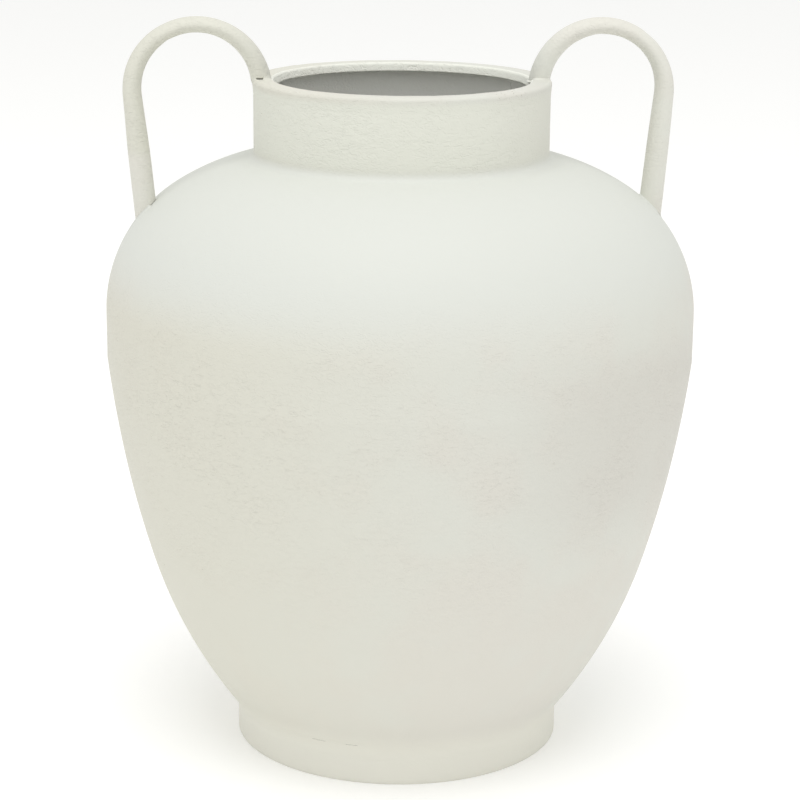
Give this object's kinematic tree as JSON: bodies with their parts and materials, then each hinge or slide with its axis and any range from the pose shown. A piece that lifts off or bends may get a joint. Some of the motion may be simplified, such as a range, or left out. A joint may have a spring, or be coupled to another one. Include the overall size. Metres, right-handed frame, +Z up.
{
  "type": "urn vase",
  "caption": "Broad-shouldered urn vase on a low ring foot, with a short straight neck, a flat rolled rim and bent-tube handles, welded from sheet metal and painted cream.",
  "frame": {"origin": "centre of the foot's lower edge, on the surface that the vase stands on", "axes": "+Z up along the vase's axis; the handles lie along X, the right one at +X, and -Y is the front"},
  "size_m": [0.3084, 0.3084, 0.3873],
  "materials": {
    "body_paint": "matte cream sand-textured paint with a fine wrinkled grain",
    "handle_paint": "matte cream paint, smoother than on the body",
    "weld_paint": "matte cream paint over ground weld beads"
  },
  "bodies": {
    "root": {"lower_bowl": "body_paint", "shoulder_dome": "body_paint", "neck_collar": "body_paint", "rim_ring": "body_paint", "foot_ring": "body_paint", "left_handle": "handle_paint", "right_handle": "handle_paint", "belly_weld": "weld_paint", "collar_seam_weld": "weld_paint", "rim_weld": "weld_paint", "foot_seam_weld": "weld_paint", "neck_weld": "weld_paint", "foot_tack_weld": "weld_paint", "foot_weld": "weld_paint", "left_handle_shoulder_weld": "weld_paint", "left_handle_rim_weld": "weld_paint", "right_handle_shoulder_weld": "weld_paint", "right_handle_rim_weld": "weld_paint"}
  },
  "joints": []
}
